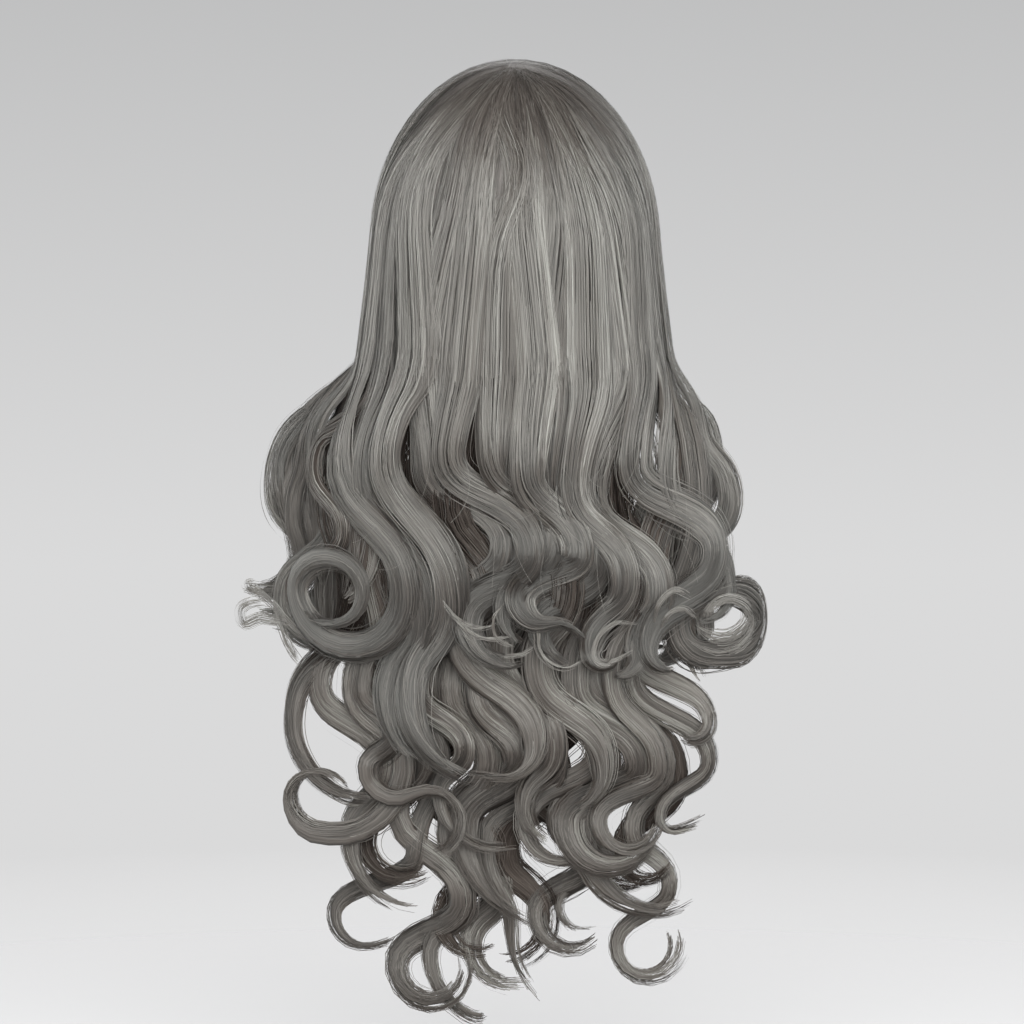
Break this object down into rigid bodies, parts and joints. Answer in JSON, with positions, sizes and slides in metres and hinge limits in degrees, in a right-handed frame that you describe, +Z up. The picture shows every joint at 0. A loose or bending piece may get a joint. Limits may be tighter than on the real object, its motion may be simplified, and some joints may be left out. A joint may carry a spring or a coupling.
{
  "type": "long wavy wig",
  "caption": "Long ash-grey wavy wig: smooth crown with a centre parting over a hollow cap, waving back hair that ends in hooks and ring curls, and locks in front of the ears.",
  "frame": {"origin": "the inside of the cap at the crown, where the wig rests on the top of the wearer's head", "axes": "+Z up, +Y the way the wearer looks, so the long back hair faces -Y, and +X the wearer's right"},
  "size_m": [0.3659, 0.2295, 0.6537],
  "materials": {
    "hair": "ash-grey synthetic hair with a soft sheen",
    "cap_net": "dark matt stretch net with rows of weft"
  },
  "bodies": {
    "root": {"cap": "cap_net", "crown_hair": "hair", "upper_01": "hair", "upper_02": "hair", "upper_03": "hair", "upper_04": "hair", "upper_05": "hair", "upper_06": "hair", "upper_07": "hair", "upper_08": "hair", "upper_09": "hair", "upper_10": "hair", "upper_11": "hair", "upper_12": "hair", "upper_13": "hair", "middle_01": "hair", "middle_02": "hair", "middle_03": "hair", "middle_04": "hair", "lower_01": "hair", "lower_02": "hair", "lower_03": "hair", "lower_04": "hair", "lower_05": "hair", "lower_06": "hair", "lower_07": "hair", "lower_08": "hair", "lower_09": "hair", "lower_10": "hair", "lower_11": "hair", "lower_12": "hair", "lower_13": "hair", "lower_14": "hair", "lower_15": "hair", "lower_16": "hair", "lower_17": "hair", "lower_18": "hair", "lower_19": "hair", "left_01": "hair", "left_02": "hair", "left_03": "hair", "left_04": "hair", "left_05": "hair", "right_01": "hair", "right_02": "hair", "right_03": "hair", "right_04": "hair", "right_05": "hair"}
  },
  "joints": []
}
